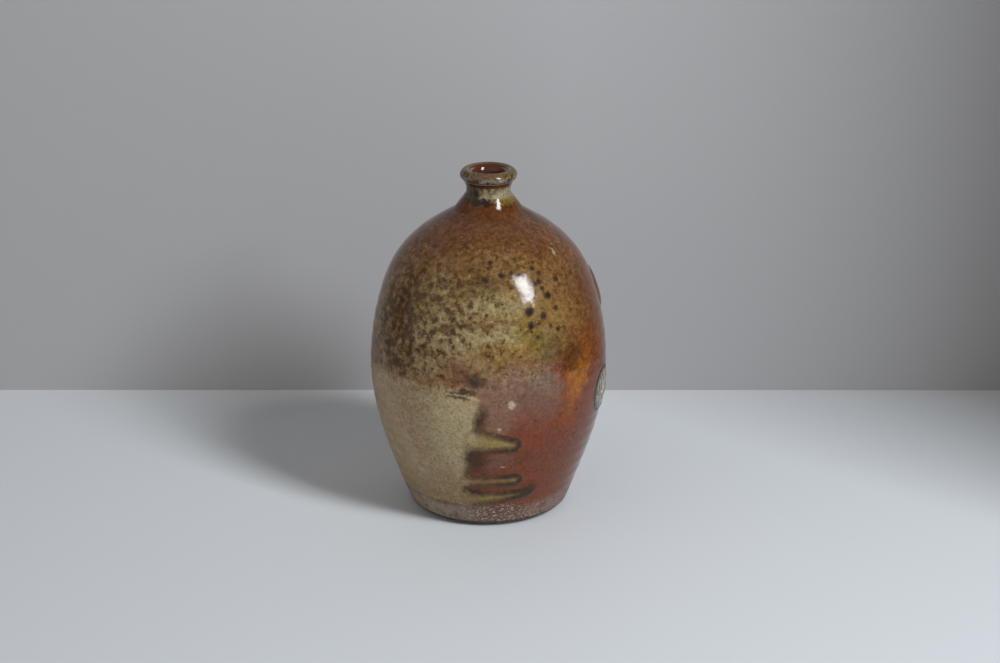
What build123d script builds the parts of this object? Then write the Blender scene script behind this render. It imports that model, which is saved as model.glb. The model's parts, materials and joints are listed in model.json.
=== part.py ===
from build123d import *
import os

# A stoneware sake bottle, wood-fired on its side. All sizes are in millimetres.
# The bottle stands on the plane Z = 0 with its axis on Z. Its front faces -Y, and angles round it are
# counted from the front towards +X. It lay on its +X side in the kiln, so melted ash ran that way and
# three seashells, set in wads of clay under that side, left their ribbed scars on it.

HEIGHT = 150.0
BELLY_RADIUS = 50.8
BELLY_HEIGHT = 67.0
GLAZE_LINE_RADIUS = 34.6
GLAZE_LINE_HEIGHT = 2.8
BASE_RADIUS = 30.0
NECK_RADIUS = 9.5
NECK_HEIGHT = 139.8
LIP_RADIUS = 12.1
LIP_CREST_RADIUS = 9.5

BORE_RADIUS = 6.2
BORE_TOP = 145.0
BORE_BOTTOM = 136.0
FLOOR_THICKNESS = 7.4
GLAZE_THICKNESS = 0.4
COLLAR_JOINT_HEIGHT = 131.4

# Stations of the finished outside, radius and height, from the glaze line to the crest of the lip.
OUTSIDE = [
    (GLAZE_LINE_RADIUS, GLAZE_LINE_HEIGHT),
    (41.1, 20.0),
    (47.6, 40.5),
    (BELLY_RADIUS, BELLY_HEIGHT),
    (47.1, 93.5),
    (39.3, 112.3),
    (25.6, 125.8),
    (14.8, 132.5),
    (10.8, 136.0),
    (NECK_RADIUS, NECK_HEIGHT),
    (10.3, 144.3),
    (LIP_RADIUS, 147.8),
    (LIP_CREST_RADIUS, HEIGHT),
]
FOOT_FLARE = (0.39, 0, 1)
BASE_ROUNDING = (1, 0, 0.2)

# Stations of the finished inside, from the foot of the straight bore down to the middle of the floor.
INSIDE = [
    (BORE_RADIUS, BORE_BOTTOM),
    (7.4, 132.4),
    (11.8, 129.2),
    (22.6, 122.0),
    (35.0, 110.2),
    (42.8, 92.0),
    (45.9, 66.0),
    (43.6, 45.0),
    (35.9, 22.0),
    (30.2, 12.4),
    (21.0, 8.2),
    (0.0, FLOOR_THICKNESS),
]
LIP_INNER_EDGE = (7.4, 148.9)

OFFSET_POINTS = 40
CUT_REACH = 1.2 * BELLY_RADIUS

# Runs of melted ash. Each is a tapered finger seen from the front: two circles of x, height and radius.
RUN_THICKNESS = 0.55
RUNS = {
    "ash_run_upper": ((-5.0, 44.6, 3.6), (10.6, 43.5, 2.9)),
    "ash_run_middle": ((-7.0, 25.6, 2.0), (10.8, 25.7, 2.4)),
    "ash_run_lower": ((-5.0, 15.5, 2.8), (18.0, 18.3, 1.9)),
}

# Seashell scars: angle from the front and height of each one's middle, and how far it is turned from
# hinge down, fan up, counted anticlockwise. A fan and a hinge are circles of x, y and radius.
SCAR_THICKNESS = 0.7
SCAR_RIB_HEIGHT = 1.2
SCAR_RIBS = 9
SCAR_RIB_SPREAD = 100.0
SCAR_RIB_AT_HINGE = 0.3
SCAR_RIB_AT_RIM = 1.6
SHELL_FAN = (0.0, 1.2, 10.2)
SHELL_HINGE = (0.0, -7.6, 3.6)
SCARS = {
    "shell_scar_front": {"angle": 74.0, "height": 55.5, "turn": -35.0, "size": 1.06},
    "shell_scar_shoulder": {"angle": 99.0, "height": 96.0, "turn": 165.0, "size": 0.9},
    "shell_scar_back": {"angle": 123.0, "height": 50.0, "turn": 28.0, "size": 0.96},
}


def section_point(station):
    """A radius and a height as a point of the section, which lies in the XZ plane."""
    radius, height = station
    return Vector(radius, 0, height)


def smooth(points, start, end):
    """One smooth curve through points, with its direction set at both ends."""
    return Spline(*points, tangents=(start, end), tangent_scalars=(1, 1))


def parallel(curve, distance):
    """The curve a set distance to the left of a smooth one in the XZ plane."""
    points = []
    for i in range(OFFSET_POINTS + 1):
        share = i / OFFSET_POINTS
        along = curve.tangent_at(share)
        left = Vector(-along.Z, 0, along.X)
        points.append(curve.position_at(share) + left * distance)
    return smooth(points, curve.tangent_at(0), curve.tangent_at(1))


def between(first, second):
    """The section between two chains of edges that run the same way, closed at both ends."""
    start = Line(first[0].position_at(0), second[0].position_at(0))
    end = Line(first[-1].position_at(1), second[-1].position_at(1))
    return make_face([*first, *second, start, end])


def turned(section):
    """The solid that a section makes about the bottle's axis, with its seam on the plain -X side."""
    return revolve(section, Axis.Z).rotate(Axis.Z, 180)


def outside_wall():
    """The finished outside as one smooth curve, flared at the foot and level at the lip's crest."""
    return smooth([section_point(s) for s in OUTSIDE], FOOT_FLARE, (-1, 0, 0))


def inside_walls():
    """The finished inside as smooth curves that follow on: lip, straight bore, then the belly."""
    crest = section_point(OUTSIDE[-1])
    bore_top = Vector(BORE_RADIUS, 0, BORE_TOP)
    bore_bottom = section_point(INSIDE[0])
    lip = smooth([crest, section_point(LIP_INNER_EDGE), bore_top], (-1, 0, 0), (0, 0, -1))
    bore = Line(bore_top, bore_bottom)
    belly = smooth([section_point(s) for s in INSIDE], (0, 0, -1), (-1, 0, 0))
    return [lip, bore, belly]


def clay_section(clay_outside, clay_inside):
    """The stoneware wall from the flat base up over the lip and down to the floor's middle."""
    foot = clay_outside.position_at(0)
    base_edge = Vector(BASE_RADIUS, 0, 0)
    floor = clay_inside[-1].position_at(1)
    base = Line((0, 0, 0), base_edge)
    foot_edge = smooth([base_edge, foot], BASE_ROUNDING, FOOT_FLARE)
    axis = Line(floor, (0, 0, 0))
    return make_face([base, foot_edge, clay_outside, *clay_inside, axis])


def filled(wall):
    """The solid inside a curve of the outside, closed across its foot and its crest."""
    foot, crest = wall.position_at(0), wall.position_at(1)
    across = Polyline(crest, (0, 0, crest.Z), (0, 0, foot.Z), foot)
    return turned(make_face([wall, *across.edges()]))


def trimmed(prism, wall, thickness):
    """A prism cut off at a set thickness above the finished outside."""
    return prism & filled(parallel(wall, -thickness))


def hull_of_circles(*circles):
    """The outline round circles of x, y and radius, like a belt round pulleys."""
    rounds = [Location((x, y)) * Circle(radius) for x, y, radius in circles]
    return make_hull([edge for one in rounds for edge in one.edges()])


def run_finger(root, tip):
    """A tapered finger seen from the front, pushed out forwards through the front wall."""
    return extrude(Plane.XZ * hull_of_circles(root, tip), amount=CUT_REACH)


def shell_outline(size):
    """A cockle shell laid flat: a round fan that narrows to its hinge."""
    return scale(hull_of_circles(SHELL_FAN, SHELL_HINGE), by=size)


def shell_ribs(size):
    """Ribs that spread from the shell's hinge, trimmed to its outline."""
    hinge_end = (SHELL_HINGE[1] - SHELL_HINGE[2]) * size
    length = (SHELL_FAN[1] + SHELL_FAN[2]) * size - hinge_end
    narrow, wide = SCAR_RIB_AT_HINGE * size / 2, SCAR_RIB_AT_RIM * size / 2
    ribs = []
    for i in range(SCAR_RIBS):
        angle = SCAR_RIB_SPREAD * (i / (SCAR_RIBS - 1) - 0.5)
        rib = Polygon((-narrow, 0), (narrow, 0), (wide, length), (-wide, length), align=None)
        ribs.append(Location((0, hinge_end, 0), (0, 0, angle)) * rib)
    return Sketch() + ribs & shell_outline(size)


def scar_plane(angle, height, turn):
    """A plane inside the wall, square to the outside at a scar's middle, turned to lay the ribs."""
    outward = Vector(0, -1, 0).rotate(Axis.Z, angle)
    across = Vector(1, 0, 0).rotate(Axis.Z, angle).rotate(Axis((0, 0, 0), outward), turn)
    middle = outward * (BELLY_RADIUS / 2) + Vector(0, 0, height)
    return Plane(origin=middle, x_dir=across, z_dir=outward)


def shell_scar(wall, angle, height, turn, size):
    """The ribbed pad of glass and burnt shell that one seashell leaves."""
    plane = scar_plane(angle, height, turn)
    pad = extrude(plane * shell_outline(size), amount=CUT_REACH)
    ribs = extrude(plane * shell_ribs(size), amount=CUT_REACH)
    return trimmed(pad, wall, SCAR_THICKNESS) + trimmed(ribs, wall, SCAR_RIB_HEIGHT) - filled(wall)


def write(name, shape):
    """Labels a piece and writes it as its own STEP file."""
    shape.label = name
    export_step(shape, f"parts/{name}.step")
    print(name, len(shape.solids()), "solids", round(shape.volume), "mm3")


def main():
    os.makedirs("parts", exist_ok=True)
    wall = outside_wall()
    inside = inside_walls()
    clay_outside = parallel(wall, GLAZE_THICKNESS)
    clay_inside = [parallel(curve, GLAZE_THICKNESS) for curve in inside]

    clay = turned(clay_section(clay_outside, clay_inside))
    joint = Plane.XY.offset(COLLAR_JOINT_HEIGHT)
    write("thrown_body", split(clay, bisect_by=joint, keep=Keep.BOTTOM))
    write("neck_collar", split(clay, bisect_by=joint, keep=Keep.TOP))
    write("ash_glaze_coat", turned(between([wall], [clay_outside])))
    write("liner_glaze", turned(between(inside, clay_inside)))

    for name, (root, tip) in RUNS.items():
        write(name, trimmed(run_finger(root, tip), wall, RUN_THICKNESS) - filled(wall))
    for name, place in SCARS.items():
        write(name, shell_scar(wall, **place))


main()
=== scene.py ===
import json
import math

import bpy
import numpy as np
from mathutils import Matrix, Vector

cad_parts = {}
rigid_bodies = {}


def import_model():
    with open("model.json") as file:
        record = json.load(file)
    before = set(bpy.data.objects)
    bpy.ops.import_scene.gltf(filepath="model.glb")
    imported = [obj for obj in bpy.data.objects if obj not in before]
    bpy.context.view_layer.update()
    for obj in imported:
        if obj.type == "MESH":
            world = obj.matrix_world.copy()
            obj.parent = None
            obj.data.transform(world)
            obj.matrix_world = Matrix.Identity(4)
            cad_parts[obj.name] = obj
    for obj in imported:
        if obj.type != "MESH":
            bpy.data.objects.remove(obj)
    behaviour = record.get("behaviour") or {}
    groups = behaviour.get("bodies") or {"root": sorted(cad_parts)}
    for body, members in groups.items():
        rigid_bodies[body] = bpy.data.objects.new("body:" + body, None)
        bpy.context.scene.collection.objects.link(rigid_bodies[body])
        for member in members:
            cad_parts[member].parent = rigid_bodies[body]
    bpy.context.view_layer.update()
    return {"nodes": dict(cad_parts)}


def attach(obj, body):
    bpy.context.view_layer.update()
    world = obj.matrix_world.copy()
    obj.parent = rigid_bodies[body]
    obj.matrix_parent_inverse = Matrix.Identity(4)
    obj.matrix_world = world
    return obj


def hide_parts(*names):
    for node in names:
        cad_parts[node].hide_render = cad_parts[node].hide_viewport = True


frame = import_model()
mm = 0.001
weld = 0.005 * mm  # points nearer than this become one
print("frame loaded:", ", ".join(sorted(frame["nodes"])))


# A Wire is a socket that adds and multiplies like a number. A Net fills a node tree of either kind.


class Wire:
    def __init__(self, net, socket):
        self.net = net
        self.socket = socket

    def maths(self, operation, *others):
        values = dict(enumerate((self,) + others))
        return self.net.add("ShaderNodeMath", {"operation": operation}, values)

    def after(self, operation, first):
        return self.net.add("ShaderNodeMath", {"operation": operation}, {0: first, 1: self})

    def __add__(self, other):
        return self.maths("ADD", other)

    def __sub__(self, other):
        return self.maths("SUBTRACT", other)

    def __mul__(self, other):
        return self.maths("MULTIPLY", other)

    def __truediv__(self, other):
        return self.maths("DIVIDE", other)

    def __pow__(self, other):
        return self.maths("POWER", other)

    def __mod__(self, other):
        return self.maths("FLOORED_MODULO", other)

    def __neg__(self):
        return self.maths("MULTIPLY", -1.0)

    def __abs__(self):
        return self.maths("ABSOLUTE")

    def __radd__(self, other):
        return self.after("ADD", other)

    def __rsub__(self, other):
        return self.after("SUBTRACT", other)

    def __rmul__(self, other):
        return self.after("MULTIPLY", other)

    def __rtruediv__(self, other):
        return self.after("DIVIDE", other)

    def rise(self, low, high):  # 0 up to low, 1 from high on, smooth between
        return self.net.add(
            "ShaderNodeMapRange", {"interpolation_type": "SMOOTHSTEP"}, {0: self, 1: low, 2: high}
        )

    def fall(self, low, high):  # 1 up to low, 0 from high on
        return self.net.add(
            "ShaderNodeMapRange",
            {"interpolation_type": "SMOOTHSTEP"},
            {0: self, 1: low, 2: high, 3: 1.0, 4: 0.0},
        )

    def between(self, low, high, edge):  # 1 from low to high, with soft edges
        return self.rise(low - edge, low + edge) * self.fall(high - edge, high + edge)


class Net:
    def __init__(self, tree):
        self.tree = tree
        self.shades = tree.bl_idname == "ShaderNodeTree"

    def add(self, kind, settings=None, values=None, out=0):
        node = self.tree.nodes.new(kind)
        for name, value in (settings or {}).items():
            setattr(node, name, value)
        for key, value in (values or {}).items():
            if isinstance(value, Wire):
                self.tree.links.new(value.socket, node.inputs[key])
            else:
                node.inputs[key].default_value = value
        if len(node.outputs):  # an output node has none
            return Wire(self, node.outputs[out])

    def also(self, wire, out):  # another output of the node that a wire comes from
        return Wire(self, wire.socket.node.outputs[out])

    def vector(self, operation, first, second):
        return self.add("ShaderNodeVectorMath", {"operation": operation}, {0: first, 1: second})

    def dot(self, first, second):
        return self.add("ShaderNodeVectorMath", {"operation": "DOT_PRODUCT"}, {0: first, 1: second}, out=1)

    def mix(self, under, over, share):  # colours
        settings = {"data_type": "RGBA"}
        return self.add("ShaderNodeMix", settings, {0: share, 6: under, 7: over}, out=2)


class Spot:  # a point on the pot: millimetres, and degrees round from the front towards +X
    def __init__(self, net, metres):
        self.net = net
        self.place = net.vector("MULTIPLY", metres, (1000, 1000, 1000))
        self.x = net.add("ShaderNodeSeparateXYZ", {}, {0: self.place})
        self.y = net.also(self.x, 1)
        self.height = net.also(self.x, 2)
        turn = self.x.maths("ARCTAN2", -self.y)
        self.angle = turn * (180 / math.pi)
        flat = net.vector("MULTIPLY", self.place, (1, 1, 0))
        self.radius = net.add("ShaderNodeVectorMath", {"operation": "LENGTH"}, {0: flat}, out=1)
        self.acrossRound = turn * self.radius  # millimetres along the wall
        self.round = net.add("ShaderNodeCombineXYZ", {}, {0: self.acrossRound, 1: self.height})
        self.ripple = self.cloud(2.2, shift=23)
        shaken = net.vector("MULTIPLY", self.cloudVector(1.3, 1), (0.9, 0.9, 0.9))
        self.rough = net.vector("ADD", self.place, net.vector("SUBTRACT", shaken, (0.45, 0.45, 0.45)))

    def awayFrom(self, centre, place):
        values = {0: place, 1: centre}
        return self.net.add("ShaderNodeVectorMath", {"operation": "DISTANCE"}, values, out=1)

    def cloud(self, size, detail=2, rough=0.5, shift=0, squash=1):  # 0 to 1, mostly near 0.5
        settings = {"operation": "MULTIPLY_ADD"}
        moved = {0: self.place, 1: (1, 1, squash), 2: (shift, shift, shift)}
        moved = self.net.add("ShaderNodeVectorMath", settings, moved)
        values = {"Vector": moved, "Scale": 1 / size, "Detail": detail, "Roughness": rough}
        return self.net.add("ShaderNodeTexNoise", {}, values)

    def cloudVector(self, size, detail, rough=0.5):  # three clouds at once, each 0 to 1
        values = {"Vector": self.place, "Scale": 1 / size, "Detail": detail, "Roughness": rough}
        noise = self.net.add("ShaderNodeTexNoise", {}, values, out=1)
        kind = "ShaderNodeSeparateColor" if self.net.shades else "FunctionNodeSeparateColor"
        red = self.net.add(kind, {}, {0: noise})
        green, blue = self.net.also(red, 1), self.net.also(red, 2)
        return self.net.add("ShaderNodeCombineXYZ", {}, {0: red, 1: green, 2: blue})


# The wall's shape comes from the CAD nodes.


def evenly(line, count):
    steps = np.hypot(*np.diff(line, axis=0).T)
    along = np.concatenate(([0], np.cumsum(steps)))
    wanted = np.linspace(0, along[-1], count)
    return np.column_stack([np.interp(wanted, along, line[:, i]) for i in (0, 1)])


def wallFace(node, side, count):
    # points (radius, height), evenly spaced up one face of a turned node: side 1 outside, -1 inside
    mesh = frame["nodes"][node].data
    place = np.array([v.co for v in mesh.vertices])
    facing = np.array([v.normal for v in mesh.vertices])
    radius = np.hypot(place[:, 0], place[:, 1])
    outward = (facing[:, :2] * place[:, :2]).sum(axis=1) / np.maximum(radius, 1e-6)
    chosen = side * outward > 0.03  # leaves out what is nearly level
    order = np.argsort(place[chosen, 2])
    line = np.column_stack((radius[chosen], place[chosen, 2]))[order]
    return evenly(evenly(line, 4 * count), count)


# Geometry Nodes helpers: a tree with named inputs, and a plain mesh from its result.


def newTree(name, inputs):
    tree = bpy.data.node_groups.new(name, "GeometryNodeTree")
    tree.interface.new_socket("Mesh", in_out="OUTPUT", socket_type="NodeSocketGeometry")
    sockets = {}
    for label, kind in inputs.items():
        sockets[label] = tree.interface.new_socket(label, in_out="INPUT", socket_type=f"NodeSocket{kind}")
    net = Net(tree)
    first = net.add("NodeGroupInput")
    wires = {label: net.also(first, i) for i, label in enumerate(inputs)}
    return net, wires, {label: socket.identifier for label, socket in sockets.items()}


def finishTree(net, mesh, finish):
    real = net.add("GeometryNodeRealizeInstances", {}, {0: mesh})
    named = net.add("GeometryNodeSetMaterial", {}, {0: real, 2: finish})
    net.add("NodeGroupOutput", {}, {0: named})


def meshFrom(name, net, names, values):
    holder = bpy.data.objects.new(name + "Holder", bpy.data.meshes.new(name + "Holder"))
    bpy.context.scene.collection.objects.link(holder)
    modifier = holder.modifiers.new("nodes", "NODES")
    modifier.node_group = net.tree
    for label, value in values.items():
        modifier[names[label]] = value
    seen = holder.evaluated_get(bpy.context.evaluated_depsgraph_get())
    mesh = bpy.data.meshes.new_from_object(seen)
    bpy.data.objects.remove(holder)
    mesh.name = name
    mesh.shade_smooth()
    piece = bpy.data.objects.new(name, mesh)
    bpy.context.scene.collection.objects.link(piece)
    return piece


def sectionObject(name, points, shows):
    # a section as a row of vertices in the XZ plane; shows is 1 where the finished face is, 0 where hidden
    mesh = bpy.data.meshes.new(name)
    mesh.from_pydata([(r, 0, z) for r, z in points], [(i, i + 1) for i in range(len(points) - 1)], [])
    mesh.attributes.new("shows", "FLOAT", "POINT").data.foreach_set("value", np.array(shows, float))
    section = bpy.data.objects.new(name, mesh)
    bpy.context.scene.collection.objects.link(section)
    return section


def turnSection(name, section, around, values, relief, finish):
    # turns a section round the axis and raises its finished face by relief(spot, wires), in millimetres
    inputs = {"Section": "Object", "Rows": "Int", "Around": "Int", "Finish": "Material"}
    inputs.update({label: "Float" for label in values})
    net, wire, names = newTree(name, inputs)
    rows, columns = wire["Rows"], wire["Around"]
    grid = net.add("GeometryNodeMeshGrid", {}, {0: 1.0, 1: 1.0, 2: columns + 1, 3: rows})
    index = net.add("GeometryNodeInputIndex")
    row = index % rows
    turn = (index / rows).maths("FLOOR") / columns * math.tau - math.pi
    info = net.add("GeometryNodeObjectInfo", {}, {0: wire["Section"]})
    line = net.also(info, 4)

    def stationAt(which):
        place = net.add("GeometryNodeInputPosition")
        settings = {"data_type": "FLOAT_VECTOR", "clamp": True}
        found = net.add("GeometryNodeSampleIndex", settings, {0: line, 1: place, 2: which})
        radius = net.add("ShaderNodeSeparateXYZ", {}, {0: found})
        return radius, net.also(radius, 2)

    radius, height = stationAt(row)
    nextRadius, nextHeight = stationAt(row + 1)
    lastRadius, lastHeight = stationAt(row - 1)
    rise, run = nextHeight - lastHeight, nextRadius - lastRadius
    length = (rise * rise + run * run).maths("SQRT") + 1e-9
    side, front = turn.maths("SINE"), -turn.maths("COSINE")
    place = net.add("ShaderNodeCombineXYZ", {}, {0: radius * side, 1: radius * front, 2: height})
    spot = Spot(net, place)
    shows = net.add("GeometryNodeInputNamedAttribute", {"data_type": "FLOAT"}, {0: "shows"})
    shown = net.add("GeometryNodeSampleIndex", {"clamp": True}, {0: line, 1: shows, 2: row})
    lift = relief(spot, wire) * shown * mm
    outward, upward = rise / length * lift, -run / length * lift
    moved = net.add(
        "ShaderNodeCombineXYZ",
        {},
        {0: (radius + outward) * side, 1: (radius + outward) * front, 2: height + upward},
    )
    turned = net.add("GeometryNodeSetPosition", {}, {0: grid, 2: moved})
    closed = net.add("GeometryNodeMergeByDistance", {}, {0: turned, 2: weld})
    finishTree(net, closed, wire["Finish"])
    rowCount = len(section.data.vertices)
    settings = {"Section": section, "Rows": rowCount, "Around": around, "Finish": finish, **values}
    piece = meshFrom(name, net, names, settings)
    bpy.data.objects.remove(section)
    return piece


# The ash glaze. The same fields give the coat its relief and its colours, so that they agree.

glaze = {
    "fingers": [  # runs that reach to the right, from (round, height) to (round, height), then both radii
        ((-6, 46.0), (10.2, 43.6), 6.2, 3.7),
        ((-12, 25.2), (11.2, 25.5), 2.6, 3.3),
        ((-9, 15.4), (17.5, 18.0), 4.4, 2.5),
    ],
    "ironSpots": [  # angle, height, radius
        (8, 114.5, 1.3), (14.5, 115, 1.2), (-2, 113, 1.5), (20, 113.6, 1.3), (28, 110.5, 1.1),
        (31, 111, 1.2), (32, 108.5, 1.0), (34.5, 105.5, 1.5), (43.5, 110.5, 1.3), (29.5, 98, 1.5),
        (33, 114, 1.0), (29, 116, 1.1), (1, 119, 1.0), (0, 117, 0.8), (38, 100, 0.9), (33, 93.5, 0.8),
        (37, 91.5, 0.9), (22, 95, 1.5), (22, 100.5, 1.9), (47.5, 54.5, 0.9), (43, 45, 0.5),
        (38, 55, 0.5), (25, 90, 0.8), (-28, 112, 0.8), (-12, 120, 0.7), (21, 107, 0.7),
        (132, 108, 1.4), (140, 101, 1.1), (151, 111, 1.2), (-128, 92, 1.2), (-141, 99, 0.9),
    ],
    "darkPools": [  # angle, height, half width, half height, turn, share
        (-6.5, 36, 6, 5.2, 0, 0.8), (-3.5, 56, 3, 5.5, -14, 0.6), (-10, 20.0, 6, 1.5, -8, 0.9),
        (23.5, 18.6, 5.5, 2.8, 14, 0.95), (-6.5, 73, 4.2, 3.0, 0, 0.9), (-12, 67.8, 6, 0.8, 3, 0.9),
        (-14, 65.4, 5, 0.7, -5, 0.8), (80, 131, 9, 3.2, 0, 0.9), (-120, 70, 9, 2.2, 5, 0.9),
    ],
    "paleSpots": [(10.5, 62, 1.5), (4, 51, 0.6), (7.5, 32, 0.4), (24, 103, 1.0), (53, 119.5, 1.2)],
    # colour, angle, height, half width in degrees, half height, turn in degrees, soft edge, share
    "washes": [
        ("purpleBrown", 55, 30, 24, 24, 0, 0.5, 0.75),
        ("purpleBrown", 118, 40, 40, 30, 10, 0.6, 0.6),
        ("purpleBrown", -120, 52, 34, 26, -12, 0.6, 0.7),
        ("flame", 44, 60, 9, 17, -28, 0.6, 0.65),
        ("flame", 58, 80, 10, 14, -35, 0.6, 0.8),
        ("orange", 49, 69, 5, 12, -30, 0.6, 0.85),
        ("flame", 70, 84, 14, 9, 0, 0.6, 0.45),
        ("rustBrown", 66, 102, 20, 20, 0, 0.6, 0.75),
        ("flame", 150, 74, 16, 30, 12, 0.6, 0.6),
        ("orange", 163, 62, 6, 15, 14, 0.6, 0.55),
        ("blushPink", 3, 61, 14, 11, 20, 0.5, 0.75),
        ("blushPink", 7, 73, 17, 7, -12, 0.5, 0.8),
        ("haze", 26, 66, 12, 11, -20, 0.6, 0.8),
        ("haze", 3, 34, 10, 5, 0, 0.7, 0.75),
        ("greyHaze", 25, 72, 12, 5, -20, 0.6, 0.4),
        ("darkBrown", 42, 80, 12, 7, -34, 0.5, 0.7),
        ("olive", 5, 112, 50, 11, 0, 0.5, 0.75),
        ("olive", -44, 92, 44, 23, 0, 0.35, 0.95),
        ("olive", 10, 96, 40, 19, 0, 0.4, 0.85),
        ("olive", -120, 96, 40, 20, 8, 0.4, 0.8),
        ("khaki", -30, 83, 26, 9, 0, 0.4, 0.5),
        ("khakiPale", -22, 95, 16, 8, 0, 0.5, 0.6),
        ("khakiPale", 0, 97, 22, 10, 0, 0.4, 0.45),
        ("khakiPale", 2, 104.5, 19, 4, 0, 0.5, 0.7),
        ("khakiPale", 8, 89.5, 22, 4.5, 0, 0.5, 0.7),
        ("olive", -6, 98.5, 17, 2.2, 0, 0.6, 0.6),
        ("darkOlive", 28, 84, 8, 6, -30, 0.6, 0.7),
        ("yellowOlive", 20, 90, 7, 9, 0, 0.5, 0.7),
        ("goldBand", 6, 84.5, 13, 2.2, 0, 0.6, 0.6),
        ("darkOlive", -5, 112.5, 17, 2.8, 0, 0.5, 0.8),
        ("crownDark", -50, 122, 26, 8, 0, 0.6, 0.5),
        ("rustBrown", -14, 77.5, 11, 3.0, 0, 0.6, 0.7),
        ("rustBrown", -24, 95, 5, 2.2, 0, 0.5, 0.8),
        ("rustBrown", -5, 94, 6, 2.0, 0, 0.5, 0.7),
    ],
}

colours = {
    "rust": (0.150, 0.033, 0.011),
    "purpleBrown": (0.118, 0.036, 0.018),
    "flame": (0.150, 0.036, 0.006),
    "orange": (0.255, 0.090, 0.010),
    "blushPink": (0.190, 0.110, 0.068),
    "haze": (0.125, 0.068, 0.044),
    "greyHaze": (0.165, 0.115, 0.082),
    "khaki": (0.305, 0.214, 0.118),
    "khakiPale": (0.266, 0.206, 0.098),
    "khakiGreen": (0.345, 0.285, 0.160),
    "khakiBrown": (0.220, 0.145, 0.064),
    "olive": (0.184, 0.113, 0.036),
    "yellowOlive": (0.150, 0.098, 0.018),
    "darkOlive": (0.080, 0.052, 0.018),
    "goldBand": (0.215, 0.118, 0.032),
    "rustBrown": (0.110, 0.046, 0.014),
    "darkBrown": (0.058, 0.024, 0.007),
    "runBrown": (0.036, 0.018, 0.008),
    "runGold": (0.240, 0.176, 0.056),
    "crownDark": (0.074, 0.023, 0.005),
    "crown": (0.105, 0.040, 0.012),
    "iron": (0.020, 0.014, 0.010),
    "ironPurple": (0.042, 0.027, 0.020),
    "cream": (0.235, 0.192, 0.118),
    "lipBrown": (0.120, 0.074, 0.038),
    "lipGrey": (0.190, 0.150, 0.125),
    "pale": (0.520, 0.430, 0.320),
    "crust": (0.480, 0.350, 0.280),
    "footGrey": (0.220, 0.172, 0.128),
    "footBrown": (0.120, 0.066, 0.045),
    "footPink": (0.165, 0.100, 0.082),
    "mouthRed": (0.070, 0.021, 0.012),
    "clayBrown": (0.150, 0.095, 0.065),
    "clayGrey": (0.210, 0.165, 0.130),
    "clayDark": (0.060, 0.042, 0.034),
    "shellGreen": (0.300, 0.300, 0.235),
    "shellGrey": (0.200, 0.190, 0.160),
    "shellStain": (0.060, 0.045, 0.032),
}


def colour(name, strength=1.0):
    return tuple(c * strength for c in colours[name]) + (1.0,)


def capsule(spot, start, end, startRadius, endRadius):
    # millimetres outside a finger that tapers from one end to the other, negative within it
    net = spot.net
    run = (end[0] - start[0], end[1] - start[1], 0)
    square = run[0] ** 2 + run[1] ** 2
    offset = net.vector("SUBTRACT", spot.round, (*start, 0))
    share = net.add("ShaderNodeClamp", {}, {0: net.dot(offset, run) / square})
    scaled = net.add("ShaderNodeVectorMath", {"operation": "SCALE"}, {0: run, 3: share})
    away = net.vector("SUBTRACT", offset, scaled)
    away = net.add("ShaderNodeVectorMath", {"operation": "LENGTH"}, {0: away}, out=1)
    return away - (share * (endRadius - startRadius) + startRadius)


def ashEdge(spot):
    # millimetres outside the ash that ran in from the left, negative within it, and its fingers
    wander = (spot.cloud(9, shift=5) - 0.5) * 9 + (spot.cloud(2.6, detail=3, shift=11) - 0.5) * 4
    left = spot.acrossRound + 7.0 + wander - spot.height.rise(48, 57) * 4.5 + spot.height.rise(60, 68) * 3
    edge = left
    for start, end, startRadius, endRadius in glaze["fingers"]:
        finger = capsule(spot, start, end, startRadius, endRadius) + (spot.ripple - 0.5) * 1.5
        edge = edge.net.add("ShaderNodeMath", {"operation": "SMOOTH_MIN"}, {0: edge, 1: finger, 2: 3.0})
    return edge


def ironEdge(spot):
    # millimetres outside the nearest iron spot
    edge = None
    for angle, height, radius in glaze["ironSpots"]:
        wall = np.interp(height * mm, outside[:, 1], outside[:, 0]) / mm
        turn = math.radians(angle)
        centre = (wall * math.sin(turn), -wall * math.cos(turn), height)
        away = spot.awayFrom(centre, spot.rough)
        edge = away - radius if edge is None else edge.maths("MINIMUM", away - radius)
    return edge


def newMaterial(name):
    material = bpy.data.materials.new(name)
    material.use_nodes = True
    material.node_tree.nodes.clear()
    net = Net(material.node_tree)
    return material, net, Spot(net, net.add("ShaderNodeTexCoord", out=3))


def closeMaterial(net, shader, bump):  # bump is a height in millimetres
    normal = net.add("ShaderNodeBump", {}, {"Strength": 1.0, "Distance": mm, "Height": bump})
    net.tree.links.new(normal.socket, shader.socket.node.inputs["Normal"])
    net.add("ShaderNodeOutputMaterial", {}, {0: shader})


def patch(net, where, angle, height, wide, tall, turn=0, soft=0.5):
    # 1 inside an ellipse on the unrolled wall, 0 outside
    offset = net.vector("SUBTRACT", where, (angle, height, 0))
    cosine, sine = math.cos(math.radians(turn)), math.sin(math.radians(turn))
    along = net.dot(offset, (cosine / wide, sine / wide, 0))
    over = net.dot(offset, (-sine / tall, cosine / tall, 0))
    away = (along * along + over * over).maths("SQRT")
    return away.fall(1 - soft, 1 + soft)


def dots(spot, spacing, radius, share, shift=0):
    # scattered round dots in millimetres; share is how many of the cells hold one
    net = spot.net
    moved = net.vector("ADD", spot.rough, (shift, shift, shift))
    cell = net.add("ShaderNodeTexVoronoi", {}, {"Vector": moved, "Scale": 1 / spacing})
    picked = net.add("ShaderNodeSeparateColor", {}, {0: net.also(cell, 1)})
    size = picked.maths("LESS_THAN", share)
    away = cell * spacing - net.also(picked, 1) * radius * 0.6
    return away.fall(radius * 0.3, radius) * size


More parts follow.
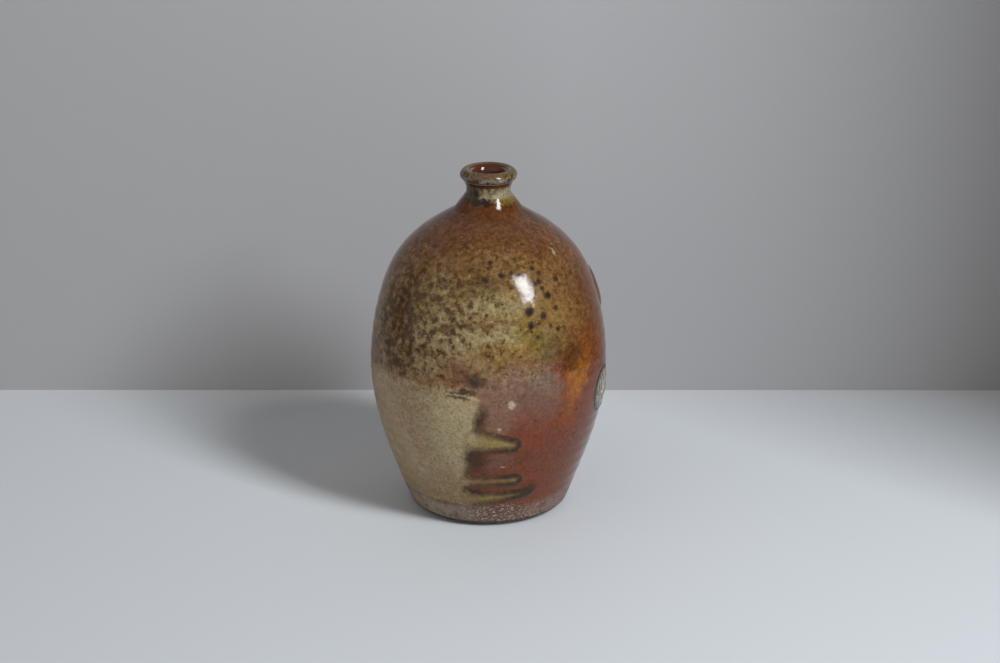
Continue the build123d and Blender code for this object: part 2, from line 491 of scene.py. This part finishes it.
def ashGlaze():
    material, net, spot = newMaterial("ashGlaze")
    coarse = net.vector("SUBTRACT", spot.cloudVector(17, 2), (0.5, 0.5, 0.5))
    fine = net.vector("SUBTRACT", spot.cloudVector(2.6, 4, 0.7), (0.5, 0.5, 0.5))
    coarse = net.vector("MULTIPLY", coarse, (20, 15, 0))
    fine = net.vector("MULTIPLY", fine, (15, 12, 0))
    wall = net.add("ShaderNodeCombineXYZ", {}, {0: spot.angle, 1: spot.height})
    nudge = net.vector("SUBTRACT", spot.cloudVector(3.0, 2), (0.5, 0.5, 0.5))
    nearby = net.vector("ADD", wall, net.vector("MULTIPLY", nudge, (7, 5, 0)))
    where = net.vector("ADD", wall, net.vector("ADD", coarse, fine))
    drift = net.add("ShaderNodeSeparateXYZ", {}, {0: where})
    ragged = net.also(drift, 1)  # height with the same ragged edges
    grain = spot.cloud(1.1, detail=3, rough=0.7, shift=31)
    mottle = spot.cloud(4.5, detail=3, rough=0.6, shift=47)
    banding = spot.cloud(16, detail=2, shift=19, squash=5)

    # flashed clay colours under everything
    tint = net.mix(colour("rust"), colour("purpleBrown"), spot.cloud(34, shift=71).rise(0.46, 0.62) * 0.6)
    tint = net.mix(tint, colour("darkBrown"), mottle.rise(0.52, 0.7) * 0.3)
    for name, angle, height, wide, tall, turn, soft, share in glaze["washes"]:
        tint = net.mix(tint, colour(name), patch(net, where, angle, height, wide, tall, turn, soft) * share)

    # crown, up to the neck
    tint = net.mix(tint, colour("crown"), ragged.rise(116, 128) * 0.92)
    tint = net.mix(tint, colour("crownDark"), ragged.rise(126, 136) * 0.85)
    golden = mottle.rise(0.46, 0.62) * spot.height.between(110, 127, 6)
    tint = net.mix(tint, colour("goldBand", 0.6), golden * 0.6)
    blushed = mottle.fall(0.34, 0.50) * spot.height.between(106, 130, 6)
    tint = net.mix(tint, colour("blushPink", 0.8), blushed * 0.45)
    scorch = spot.cloud(2.6, detail=4, rough=0.65, shift=37).rise(0.50, 0.62)
    scorch = scorch * spot.height.between(104, 134, 5)
    tint = net.mix(tint, colour("crownDark", 0.8), scorch * 0.6)

    # brown speckle where the fly ash landed, thickest on the left shoulder
    thick = patch(net, where, -45, 92, 45, 24, 0, 0.5)
    thickest = patch(net, where, -52, 92, 16, 20, 0, 0.5)
    thin = patch(net, where, 12, 99, 52, 27, 0, 0.5)
    behind = patch(net, where, -122, 94, 42, 22, 0, 0.5)
    cover = thick * 0.10 + thickest * 0.10 + thin * 0.04 + behind * 0.13 + (banding - 0.5) * 0.2
    stain = spot.cloud(6.5, detail=5, rough=0.72, shift=83, squash=1.4) + cover - 0.68
    tint = net.mix(tint, colour("rustBrown"), stain.rise(-0.06, 0.09) * 0.7)
    blotch = spot.cloud(2.9, detail=3, rough=0.6, shift=89) + cover - 0.65
    tint = net.mix(tint, colour("khakiPale"), blotch.fall(-0.20, -0.05) * thick * 0.5)
    tint = net.mix(tint, colour("darkBrown"), blotch.rise(-0.05, 0.11) * 0.9)
    landed = (thick * 0.6 + thin * 0.4 + behind * 0.6).maths("MINIMUM", 1.0)
    freckle = dots(spot, 3.0, 1.25, 0.5) * stain.rise(-0.24, 0.0) * landed
    tint = net.mix(tint, colour("darkBrown", 0.7), freckle * 0.8)

    # the pale ash field on the lower left and its fingers
    edge = ashEdge(spot)
    top = ragged.fall(67, 73)
    held = drift.rise(-116, -98)
    field = edge.fall(-1.5, 0.2) * top * held
    ash = net.mix(colour("khaki"), colour("khakiGreen"), patch(net, where, -17, 50, 15, 19, 0, 0.6) * 0.8)
    ash = net.mix(ash, colour("khakiBrown"), spot.height.fall(12, 33) * 0.75)
    ash = net.mix(ash, colour("olive"), spot.height.fall(9, 25) * 0.4)
    ash = net.mix(ash, colour("khakiBrown"), drift.fall(-82, -58) * 0.55)
    ash = net.mix(ash, colour("olive"), mottle.rise(0.5, 0.72) * 0.35)
    ash = net.mix(ash, colour("khakiGreen", 1.05), mottle.fall(0.3, 0.48) * 0.4)
    ash = net.mix(ash, colour("olive", 0.9), grain.rise(0.52, 0.68) * 0.42)
    fleck = blotch.rise(-0.04, 0.1) * spot.height.rise(50, 72)
    ash = net.mix(ash, colour("rustBrown"), fleck * 0.7)
    tint = net.mix(tint, ash, field)
    nearFingers = spot.acrossRound.rise(-15, -6) * spot.height.fall(58, 66)
    ran = spot.acrossRound.rise(-8, 0) * spot.height.fall(50, 56)
    tint = net.mix(tint, colour("olive", 0.85), edge.fall(-1.6, -0.4) * ran * 0.75)
    tint = net.mix(tint, colour("runGold"), edge.fall(-3.7, -2.1) * ran * 0.85)
    tip = spot.acrossRound.rise(0, 12)
    halo = edge.rise(-4.2, -2.1) * edge.fall(-0.4, 1.4) * nearFingers
    tint = net.mix(tint, colour("rustBrown", 0.9), halo * (0.55 + tip * 0.3))
    rim = edge.rise(-2.3 - tip * 0.5, -1.2) * edge.fall(-0.4, 0.5) * nearFingers
    rim = rim * (spot.ripple.rise(0.3, 0.55) * 0.4 + 0.5)
    tint = net.mix(tint, colour("runBrown"), rim * (0.75 + tip * 0.5))
    for angle, height, wide, tall, turn, share in glaze["darkPools"]:
        pool = patch(net, nearby, angle, height, wide, tall, turn, 0.6) * share
        tint = net.mix(tint, colour("runBrown"), pool)

    # iron spots with a rusty rim, small dots, and pale burst bubbles
    iron = ironEdge(spot)
    tint = net.mix(tint, colour("rustBrown"), iron.fall(0.0, 0.9) * 0.6)
    tint = net.mix(tint, colour("ironPurple"), iron.fall(-0.3, 0.25) * 0.9)
    tint = net.mix(tint, colour("iron"), iron.fall(-1.0, -0.4) * 0.9)
    small = dots(spot, 4.2, 0.55, 0.3) * (0.25 + thin * 0.75) * spot.height.fall(118, 128)
    tint = net.mix(tint, colour("iron"), small * 0.75)
    burst = dots(spot, 3.1, 0.32, 0.32, 5) * (0.35 + spot.height.rise(84, 120) * 0.5)
    tint = net.mix(tint, colour("pale"), burst * 0.5)
    for angle, height, radius in glaze["paleSpots"]:
        tint = net.mix(tint, colour("pale"), patch(net, nearby, angle, height, radius, radius, 0, 0.8) * 0.6)

    # foot: crusty band where the glaze ends
    foot = (ragged * 0.35 + spot.height * 0.65).fall(9.0, 12.5)
    footTint = net.mix(colour("footGrey"), colour("footBrown"), drift.rise(-26, 2))
    footTint = net.mix(footTint, colour("footPink"), drift.rise(18, 42))
    footTint = net.mix(footTint, colour("darkBrown"), mottle.rise(0.5, 0.66) * 0.5)
    line = spot.height - spot.angle.rise(-5, 22) * 3.2 + (spot.ripple - 0.5) * 1.6
    tint = net.mix(tint, colour("rustBrown", 0.85), line.between(10.4, 11.9, 0.5) * edge.fall(-0.5, 2) * 0.85)
    tint = net.mix(tint, footTint, foot)
    crusty = spot.cloud(0.9, detail=2, shift=113).rise(0.53, 0.62) * spot.height.fall(9, 15)
    crusty = crusty * (0.25 + patch(net, where, 6, 8, 24, 8, 0, 0.5) * 0.75)
    # partly real pale crumbs of grit and partly a painted highlight along the lower rim, on the front right
    # only
    crumbsAndRimHighlight = dots(spot, 1.5, 0.6, 0.75, 9) * spot.height.fall(3.4, 4.6) * drift.between(2, 30, 6)
    tint = net.mix(tint, colour("crust"), (crusty * 0.7).maths("MAXIMUM", crumbsAndRimHighlight * 0.9))

    # neck: a dark pool at its root, ash above it, and the lip
    speckle = spot.cloud(2.3, detail=3, rough=0.6, shift=61)
    neck = spot.height + (spot.ripple - 0.5) * 2.4 + (speckle - 0.5) * 3
    right = spot.angle.rise(8, 30) * spot.angle.fall(120, 150)
    ashNeck = net.mix(colour("cream"), colour("khakiGreen", 0.72), right)
    ashNeck = net.mix(ashNeck, colour("darkOlive"), speckle.rise(0.48, 0.6) * (0.75 - right * 0.4))
    tint = net.mix(tint, ashNeck, neck.between(138.2, 143.2, 0.6) * 0.94)
    flank = spot.angle.fall(-38, -14)
    tint = net.mix(tint, colour("darkOlive", 0.6), neck.between(137.4, 143.6, 0.7) * flank * 0.85)
    pool = neck.between(136.5, 138.9, 0.4)
    tint = net.mix(tint, colour("yellowOlive", 1.1), pool * right * 0.55)
    tint = net.mix(tint, colour("runBrown", 0.4), pool * spot.angle.between(-42, 6, 8) * 0.97)
    tint = net.mix(tint, colour("runBrown", 0.5), patch(net, nearby, -33, 140.5, 9, 3, 0, 0.5) * 0.85)
    tint = net.mix(tint, colour("crown"), neck.between(143.2, 146.0, 0.4) * 0.85)
    # painted shade: a dark line under the lip's ledge, broken up by the speckle
    tint = net.mix(tint, colour("runBrown"), spot.height.between(144.3, 145.0, 0.3) * (speckle + 0.35) * 0.8)
    tint = net.mix(tint, colour("lipGrey", 1.25), spot.height.between(145.2, 145.7, 0.2) * 0.8)
    lip = spot.height.rise(145.8, 146.2)
    tint = net.mix(tint, colour("lipBrown"), lip)
    tint = net.mix(tint, colour("yellowOlive", 0.7), spot.angle.rise(10, 50) * lip * 0.6)
    greyed = neck.between(145.6, 147.8, 0.5) * speckle.fall(0.46, 0.62)
    tint = net.mix(tint, colour("lipGrey"), greyed * lip * 0.9)
    tint = net.mix(tint, colour("darkOlive", 0.5), speckle.rise(0.5, 0.6) * lip * 0.8)

    # fine grain over all of it, coarser where ash fell on the clay
    mixed = spot.cloud(2.2, detail=5, rough=0.8, shift=131)
    rough = 0.4 + spot.height.rise(60, 78) * 0.6
    darker = net.vector("MULTIPLY", tint, (0.42, 0.36, 0.30))
    paler = net.vector("MULTIPLY", tint, (1.75, 1.85, 2.0))
    tint = net.mix(tint, darker, mixed.rise(0.46, 0.70) * rough * 0.75)
    tint = net.mix(tint, paler, mixed.fall(0.32, 0.52) * rough * 0.7)
    tint = net.mix(tint, darker, grain.rise(0.5, 0.78) * 0.4)
    tint = net.mix(tint, paler, grain.fall(0.26, 0.50) * 0.45)

    satin = field * 0.16 + foot * 0.3 + crusty * 0.25 + mottle.rise(0.5, 0.7) * 0.05
    shader = net.add(
        "ShaderNodeBsdfPrincipled",
        {},
        {
            "Base Color": tint,
            "Roughness": (satin + 0.12).maths("MINIMUM", 0.75),
            "Specular IOR Level": 0.28,
        },
    )
    peel = spot.cloud(1.7, detail=2, shift=59) * 0.035 + grain * 0.02
    relief = peel - burst * 0.05 + crusty * 0.12
    closeMaterial(net, shader, relief)
    return material


def linerGlaze():
    # red-brown and wet looking in the bore, the lip's colours near the crest
    material, net, spot = newMaterial("linerGlaze")
    mottle = spot.cloud(3.2, detail=3, shift=47)
    tint = net.mix(colour("crownDark"), colour("darkBrown"), mottle.rise(0.4, 0.65) * 0.6)
    tint = net.mix(tint, colour("mouthRed"), spot.height.rise(140, 148) * 0.8)
    rim = spot.radius + (spot.ripple - 0.5) * 0.6
    tint = net.mix(tint, colour("lipBrown"), rim.rise(8.0, 8.6))
    tint = net.mix(tint, colour("darkOlive", 0.6), mottle.rise(0.5, 0.6) * rim.rise(8.0, 8.6) * 0.8)
    # painted highlight: a pale line along the inner edge of the rim, on the front half only
    tint = net.mix(tint, colour("lipGrey", 1.8), rim.between(7.2, 7.5, 0.2) * spot.y.fall(1, 6) * 0.85)
    values = {"Base Color": tint, "Roughness": mottle * 0.1 + 0.08, "Specular IOR Level": 0.3}
    shader = net.add("ShaderNodeBsdfPrincipled", {}, values)
    closeMaterial(net, shader, spot.cloud(2.2, shift=7) * 0.08)
    return material


def throwingClay():
    # bare stoneware: dark where the fire reached it, with pale grog and scorched iron specks
    material, net, spot = newMaterial("throwingClay")
    mottle = spot.cloud(5, detail=4, rough=0.6, shift=3)
    grain = spot.cloud(0.8, detail=3, rough=0.7, shift=13)
    tint = net.mix(colour("clayBrown"), colour("clayGrey"), mottle.rise(0.4, 0.62))
    tint = net.mix(tint, colour("clayDark"), spot.radius.rise(28.5, 30.5) * 0.75)
    tint = net.mix(tint, colour("darkBrown"), grain.rise(0.52, 0.7) * 0.5)
    tint = net.mix(tint, colour("crust"), dots(spot, 2.4, 0.45, 0.3) * 0.6)
    tint = net.mix(tint, colour("iron"), dots(spot, 3.4, 0.4, 0.25, 4) * 0.7)
    values = {"Base Color": tint, "Roughness": grain * 0.2 + 0.62, "IOR": 1.45}
    shader = net.add("ShaderNodeBsdfPrincipled", {}, values)
    closeMaterial(net, shader, grain * 0.25 + mottle * 0.2)
    return material


def shellGlass(name, browned):
    # melted wad of shell: pale grey-green glass on the ribs, dark iron stain between them and round it
    material, net, spot = newMaterial(name)
    rib = net.add("ShaderNodeAttribute", {"attribute_name": "rib"}, out=2)
    rim = net.add("ShaderNodeAttribute", {"attribute_name": "rim"}, out=2)
    mottle = spot.cloud(3.0, detail=4, rough=0.65, shift=3)
    grain = spot.cloud(0.9, detail=3, rough=0.7, shift=13)
    tint = net.mix(colour("shellGreen"), colour("shellGrey"), mottle.rise(0.4, 0.6))
    tint = net.mix(tint, colour("shellStain"), rib.fall(0.1, 0.6) * 0.8)
    tint = net.mix(tint, colour("shellStain"), grain.rise(0.5, 0.68) * 0.45)
    # painted glints: pink patches and pale dots stand for light caught on the wet glass
    tint = net.mix(tint, colour("blushPink", 1.5), mottle.fall(0.34, 0.44) * 0.6)
    tint = net.mix(tint, colour("pale"), dots(spot, 2.2, 0.6, 0.35) * 0.8)
    tint = net.mix(tint, colour("runBrown"), (rim + (grain - 0.5) * 0.3).rise(0.74, 0.88) * 0.95)
    tint = net.mix(tint, colour("rustBrown"), browned)
    values = {"Base Color": tint, "Roughness": mottle * 0.16 + 0.08, "Specular IOR Level": 0.5}
    shader = net.add("ShaderNodeBsdfPrincipled", {}, values)
    closeMaterial(net, shader, grain * 0.2 + mottle * 0.15)
    return material


def coatRelief(spot, wire):
    rings = ((spot.height / wire["Ring Spacing"] + spot.angle / 360) * math.tau).maths("SINE")
    rings = rings * wire["Ring Depth"] * spot.cloud(25, shift=3)
    unround = (spot.cloud(70, detail=1, shift=9) - 0.45) * wire["Out Of Round"]
    fade = spot.height.rise(4, 12) * spot.height.fall(126, 140) * (1 - spot.height.between(99, 122, 5) * 0.75)
    edge = ashEdge(spot)
    near = spot.acrossRound.rise(-15, -6) * spot.height.fall(58, 66)
    thick = edge.fall(-1.2, 0.3) * 0.6 + abs(edge + 1.0).fall(0.3, 1.5) * 0.4
    runs = thick * near * wire["Run Thickness"]
    field = edge.fall(-2, 0.5) * (1 - near) * spot.height.fall(66, 74) * spot.angle.rise(-112, -98) * 0.12
    spots = ironEdge(spot).fall(-1.0, 0.5) * wire["Spot Height"]
    pool = spot.height.between(136.6, 138.4, 0.8) * 0.25
    ledge = spot.height.between(146.1, 146.9, 0.35) * 0.15
    return (rings + unround) * fade + (runs + field) * spot.height.rise(4, 9) + spots + pool + ledge


outside = wallFace("ash_glaze_coat", 1, 4000)


def rowsAlong(line, spacings):
    # thins a fine line to rows: spacings are (height from, millimetres between rows)
    rows = [line[0]]
    for point in line[1:]:
        gap = [g for low, g in spacings if point[1] >= low * mm][-1] * mm
        if np.hypot(*(point - rows[-1])) >= gap:
            rows.append(point)
    if np.hypot(*(rows[-1] - line[-1])) > 1e-7:
        rows[-1] = line[-1]
    return np.array(rows)


coat = {
    "Around": 384,
    "spacings": [(-1, 0.8), (134, 0.5), (143, 0.3)],
    "innerRows": 14,
    "sizes": {
        "Ring Spacing": 6.0,
        "Ring Depth": 0.10,
        "Out Of Round": 0.6,
        "Run Thickness": 0.5,
        "Spot Height": 0.05,
    },
}

face = rowsAlong(outside, coat["spacings"])
skin = wallFace("ash_glaze_coat", -1, coat["innerRows"] + 2)[-2:0:-1]
shows = [1] * len(face) + [0] * (len(skin) + 1)
section = sectionObject("coatSection", np.vstack((face, skin, face[:1])), shows)
glazeCoat = turnSection("glazeCoat", section, coat["Around"], coat["sizes"], coatRelief, ashGlaze())
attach(glazeCoat, "root")
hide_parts("ash_glaze_coat", "ash_run_upper", "ash_run_middle", "ash_run_lower")
print("glaze coat:", len(face), "rows,", len(glazeCoat.data.polygons), "faces")


body = {
    "Around": 256,
    "outerRows": 70,
    "innerRows": 60,
    "baseRows": 40,
    "wirePulledTo": (-46, 18, 0),  # the grooves curve round this point, in millimetres
    "sizes": {"Wire Cut": 0.25, "Grit": 0.18},
}


def bodyRelief(spot, wire):
    # a twisted wire left shell-shaped grooves on the base, and grit stands out of the foot
    away = spot.awayFrom(body["wirePulledTo"], spot.place)
    grooves = ((away * 0.55 + spot.cloud(16, shift=2) * 2.4) * math.tau).maths("SINE") - 1
    base = spot.height.fall(0.05, 0.3) * spot.radius.fall(26.5, 28.5)
    grit = (spot.cloud(1.6, detail=3, shift=6).rise(0.5, 0.72) - 0.6) * wire["Grit"]
    side = spot.height.between(0.6, 2.3, 0.4) * spot.radius.rise(28.5, 30)
    return grooves * base * wire["Wire Cut"] + grit * side


outer = wallFace("thrown_body", 1, body["outerRows"])
inner = wallFace("thrown_body", -1, body["innerRows"])[::-1]
across = np.linspace(0, outer[0, 0], body["baseRows"])[:-1]
base = np.column_stack((across, np.zeros(len(across))))
floorCentre = [(0, inner[-1, 1])]
points = np.vstack((base, outer, inner, floorCentre))
section = sectionObject("bodySection", points, [1] * len(points))
thrownBody = turnSection("thrownBody", section, body["Around"], body["sizes"], bodyRelief, throwingClay())
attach(thrownBody, "root")
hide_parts("thrown_body")
print("thrown body:", len(points), "rows,", len(thrownBody.data.polygons), "faces")


# Shell scars: a wad of shell held each spot off the kiln shelf and left its ribs in a skin of glass.

scar = {
    "Rows": 61,
    "Around": 144,
    "sizes": {
        "Thickness": 0.55,
        "Rib Spacing": 1.9,
        "Rib Height": 0.55,
        "Lumps": 1.0,
        "Ragged": 0.34,
    },
    "hingeDrop": 1.7,  # how far below the middle the ribs would meet, in half heights
    "edgeSink": 0.12,  # how deep the rim and the underside lie in the glaze, in millimetres
    "underSink": 0.35,
    "wallRadius": 50 * mm,
    "rayLength": 100 * mm,  # rays start this far from the axis
    "turns": {"front": 8, "shoulder": 150, "back": -24},  # which way the ribs fan, in degrees
    "browned": {"front": 0.0, "shoulder": 0.85, "back": 0.3},  # how much the glaze colours it
}


def nodeSpread(node):
    # where a node lies on the wall: angle in radians, height, half its width and half its height
    place = np.array([v.co for v in frame["nodes"][node].data.vertices])
    turn = np.arctan2(place[:, 0], -place[:, 1])
    reach = np.hypot(place[:, 0], place[:, 1]).mean() * (turn.max() - turn.min()) / 2
    height = place[:, 2]
    tall = (height.max() - height.min()) / 2
    return (turn.max() + turn.min()) / 2, (height.max() + height.min()) / 2, reach, tall


def scarTree():
    labels = ("Angle", "Height", "Half Width", "Half Height", "Turn", "Shape", *scar["sizes"])
    inputs = {"Coat": "Object", "Rows": "Int", "Around": "Int", "Finish": "Material"}
    inputs.update({label: "Float" for label in labels})
    net, wire, names = newTree("shellScar", inputs)
    rows, columns = wire["Rows"], wire["Around"]
    grid = net.add("GeometryNodeMeshGrid", {}, {0: 1.0, 1: 1.0, 2: columns + 1, 3: rows})
    index = net.add("GeometryNodeInputIndex")
    share = (index % rows) / (rows - 1)  # 0 to 0.5 out over the top, then back in underneath
    turn = (index / rows).maths("FLOOR") / columns * math.tau
    rim = 1 - abs(share * 2 - 1)
    over, upright = turn.maths("SINE"), turn.maths("COSINE")
    outline = net.add("ShaderNodeCombineXYZ", {}, {0: over, 1: upright, 2: wire["Shape"]})
    wobble = net.add("ShaderNodeTexNoise", {}, {"Vector": outline, "Scale": 2.2, "Detail": 4.0})
    reach = rim * (1 + (wobble - 0.5) * wire["Ragged"])
    across = reach * over * wire["Half Width"]
    up = reach * upright * wire["Half Height"]

    # the ribs fan out from a hinge below the wad
    cosine, sine = wire["Turn"].maths("COSINE"), wire["Turn"].maths("SINE")
    hinge = wire["Half Height"] * scar["hingeDrop"]
    fan = (across * cosine + up * sine).maths("ARCTAN2", up * cosine - across * sine + hinge)
    flat = net.add("ShaderNodeCombineXYZ", {}, {0: across, 1: up, 2: wire["Shape"]})
    lumps = net.add("ShaderNodeTexNoise", {}, {"Vector": flat, "Scale": 260.0, "Detail": 2.0}) - 0.5
    ribs = fan * hinge / (wire["Rib Spacing"] * mm) + lumps * 0.9
    rib = (ribs * math.tau).maths("COSINE") * 0.5 + 0.5
    middle = 1 - rim**4
    top = (wire["Thickness"] + rib * wire["Rib Height"] + lumps * wire["Lumps"]) * middle - scar["edgeSink"]
    under = share.maths("GREATER_THAN", 0.5)
    lift = top * (1 - under) - under * scar["underSink"]

    # a ray from outside finds the glaze under each point
    coated = net.also(net.add("GeometryNodeObjectInfo", {}, {0: wire["Coat"]}), 4)
    angle = wire["Angle"] + across / scar["wallRadius"]
    side, front = angle.maths("SINE"), -angle.maths("COSINE")
    length = scar["rayLength"]
    away = net.add("ShaderNodeCombineXYZ", {}, {0: side * length, 1: front * length, 2: wire["Height"] + up})
    inward = net.add("ShaderNodeCombineXYZ", {}, {0: -side, 1: -front})
    rays = {"Source Position": away, "Ray Direction": inward, "Ray Length": length}
    found = net.add("GeometryNodeRaycast", {}, {"Target Geometry": coated, **rays}, out=1)
    out = net.add("ShaderNodeVectorMath", {"operation": "SCALE"}, {0: net.also(found, 2), 3: lift * mm})
    placed = net.add("GeometryNodeSetPosition", {}, {0: grid, 2: net.vector("ADD", found, out)})
    for label, value in (("rib", rib), ("rim", rim + under)):
        placed = net.add("GeometryNodeStoreNamedAttribute", {}, {0: placed, 2: label, 3: value})
    closed = net.add("GeometryNodeMergeByDistance", {}, {0: placed, 2: weld})
    finishTree(net, closed, wire["Finish"])
    return net, names


scarNet, scarNames = scarTree()
for shape, place in enumerate(("front", "shoulder", "back")):
    name = "shellScar" + place.capitalize()
    node = "shell_scar_" + place
    given = dict(zip(("Angle", "Height", "Half Width", "Half Height"), map(float, nodeSpread(node))))
    given.update(scar["sizes"])
    given.update({"Turn": math.radians(scar["turns"][place]), "Shape": 3.7 * shape})
    given.update({"Coat": glazeCoat, "Rows": scar["Rows"], "Around": scar["Around"]})
    given["Finish"] = shellGlass(place + "ShellGlass", scar["browned"][place])
    piece = meshFrom(name, scarNet, scarNames, given)
    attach(piece, "root")
    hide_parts(node)
    print(name + ":", len(piece.data.polygons), "faces")


# The nodes that keep their own shape get their finishes.


def dress(node, material):
    for held in frame["nodes"][node].material_slots:
        held.material = material


dress("neck_collar", thrownBody.data.materials[0])
dress("liner_glaze", linerGlaze())


# The stage: a pale table top against a grey wall, a tall window on the right, and the camera.

camera = {
    "place": (0, -0.8887, 0.3934),
    "lens": 78.67,  # on a 36 mm sensor
    "down": 19.60,  # degrees
    "right": 0.32,
    "roll": 0.13,
}


def addCamera(given):
    data = bpy.data.cameras.new("camera")
    data.lens = given["lens"]
    data.sensor_width = 36
    data.dof.use_dof = False
    eye = bpy.data.objects.new("camera", data)
    turn = Matrix.Rotation(-math.radians(given["right"]), 4, "Z")
    turn = turn @ Matrix.Rotation(math.radians(90 - given["down"]), 4, "X")
    turn = turn @ Matrix.Rotation(math.radians(given["roll"]), 4, "Z")
    eye.matrix_world = Matrix.Translation(given["place"]) @ turn
    bpy.context.scene.collection.objects.link(eye)
    bpy.context.scene.camera = eye


addCamera(camera)

stage = {
    "wallBehind": 0.129,
    "halfWidth": 3.0,
    "front": -3.0,
    "wallHeight": 2.5,
    "flagAway": 0.42,
    "flagFront": -0.21,
    "flagHeight": 0.9,
}


def addSheet(name, corners, material):
    mesh = bpy.data.meshes.new(name)
    mesh.from_pydata(corners, [], [tuple(range(len(corners)))])
    mesh.materials.append(material)
    sheet = bpy.data.objects.new(name, mesh)
    bpy.context.scene.collection.objects.link(sheet)
    return sheet


def stageFinish(name, tint, roughness):
    material = bpy.data.materials.new(name)
    material.use_nodes = True
    material.node_tree.nodes.clear()
    net = Net(material.node_tree)
    shader = net.add("ShaderNodeBsdfPrincipled", {}, {"Base Color": tint, "Roughness": roughness})
    back = net.add("ShaderNodeNewGeometry", out=6)  # clear from behind, so it hides nothing from there
    clear = net.add("ShaderNodeBsdfTransparent")
    either = net.add("ShaderNodeMixShader", {}, {0: back, 1: shader, 2: clear})
    net.add("ShaderNodeOutputMaterial", {}, {0: either})
    return material


wide, front = stage["halfWidth"], stage["front"]
back, top = stage["wallBehind"], stage["wallHeight"]
addSheet(
    "tableTop",
    [(-wide, front, 0), (wide, front, 0), (wide, back, 0), (-wide, back, 0)],
    stageFinish("paintedTable", (0.62, 0.64, 0.66, 1), 0.6),
)
addSheet(
    "wall",
    [(-wide, back, 0), (wide, back, 0), (wide, back, top), (-wide, back, top)],
    stageFinish("greyWall", (0.36, 0.355, 0.36, 1), 0.8),
)


def addLight(name, azimuth, elevation, distance, width, height, power, tint):
    # a rectangular light that faces the pot; azimuth from the front towards +X, in degrees
    data = bpy.data.lights.new(name, "AREA")
    data.shape = "RECTANGLE"
    data.size, data.size_y = width, height
    data.energy = power
    data.color = tint
    light = bpy.data.objects.new(name, data)
    a, e = math.radians(azimuth), math.radians(elevation)
    aim = Vector((math.sin(a) * math.cos(e), -math.cos(a) * math.cos(e), math.sin(e)))
    light.location = Vector((0, 0, 100 * mm)) + aim * distance
    light.rotation_mode = "QUATERNION"
    light.rotation_quaternion = aim.to_track_quat("Z", "Y")
    bpy.context.scene.collection.objects.link(light)


window = {
    "azimuth": 47,
    "elevation": 36,
    "distance": 1.4,
    "width": 0.30,
    "height": 0.60,
    "power": 21,
    "tint": (0.95, 0.99, 1.03),
}
addLight("window", **window)

# a flag on the right keeps the window off that end of the wall and darkens what the pot reflects there
away, near, tall = stage["flagAway"], stage["flagFront"], stage["flagHeight"]
flag = addSheet(
    "flag",
    [(away, back, 0), (away, near, 0), (away, near, tall), (away, back, tall)],
    stageFinish("flagCloth", (0.10, 0.10, 0.10, 1), 0.9),
)
flag.visible_camera = False


def roomLight():
    # soft light from all round, brightest on the left and darkest on the right and overhead
    world = bpy.data.worlds.new("room")
    bpy.context.scene.world = world
    world.use_nodes = True
    world.node_tree.nodes.clear()
    net = Net(world.node_tree)
    side = net.add("ShaderNodeSeparateXYZ", {}, {0: net.add("ShaderNodeTexCoord", out=0)})
    left = side.fall(-0.7, 0.6)
    glow = (left * 0.62 + 0.10) * (1 - net.also(side, 2).rise(0.45, 0.95) * 0.55)
    sky = net.add("ShaderNodeBackground", {}, {0: (1.0, 0.97, 0.93, 1), 1: glow})
    net.add("ShaderNodeOutputWorld", {}, {0: sky})


roomLight()
bpy.context.scene.view_settings.view_transform = "Standard"
